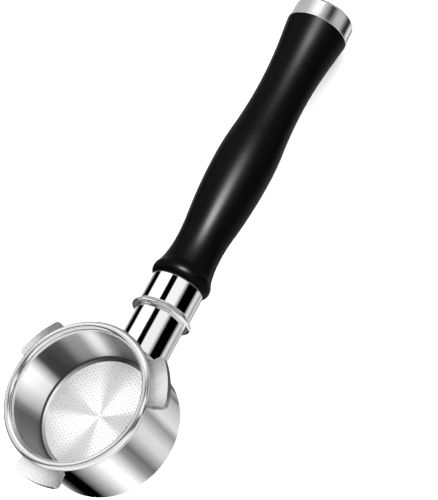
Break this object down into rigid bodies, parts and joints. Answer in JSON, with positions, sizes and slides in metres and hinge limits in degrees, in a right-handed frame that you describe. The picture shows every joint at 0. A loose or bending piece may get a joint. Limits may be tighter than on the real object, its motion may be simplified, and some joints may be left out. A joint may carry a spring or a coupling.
{
  "type": "portafilter",
  "caption": "Bottomless espresso portafilter: bayonet ring head, lift-out filter basket and a waisted round handle with a metal ferrule and end cap.",
  "frame": {"origin": "on the ring's axis, in the plane through the middle of the basket's rolled rim", "axes": "+Z along the ring's axis, out of its mouth; +X along the handle, seen from above; the handle droops 6.8 degrees below +X"},
  "size_m": [0.2335, 0.0681, 0.0628],
  "materials": {
    "polished_steel": "polished stainless steel with soft casting marks on the lugs",
    "basket_steel": "bright pressed stainless steel",
    "screen_steel": "fine-holed stainless sheet with a turned sheen",
    "spring_steel": "drawn spring wire",
    "handle_chrome": "mirror polished",
    "black_grip": "satin black, fine moulded grain",
    "seal_rubber": "black nitrile",
    "rod_steel": "zinc plated",
    "insert_brass": "turned brass"
  },
  "bodies": {
    "head_and_handle": {"head_casting": "polished_steel", "basket_spring": "spring_steel", "collar_ring": "handle_chrome", "ferrule": "handle_chrome", "grip_seal": "seal_rubber", "handle_grip": "black_grip", "front_bush": "insert_brass", "tie_rod": "rod_steel", "flat_washer": "rod_steel", "lock_washer": "rod_steel", "rod_nut": "rod_steel", "cap_insert": "insert_brass", "end_cap": "handle_chrome"},
    "basket": {"basket_cup": "basket_steel", "basket_screen": "screen_steel"}
  },
  "joints": [
    {"name": "basket_lift", "type": "slide", "parent": "head_and_handle", "child": "basket", "axis": [0, 0, 1], "range_m": [0, 0.035]}
  ]
}
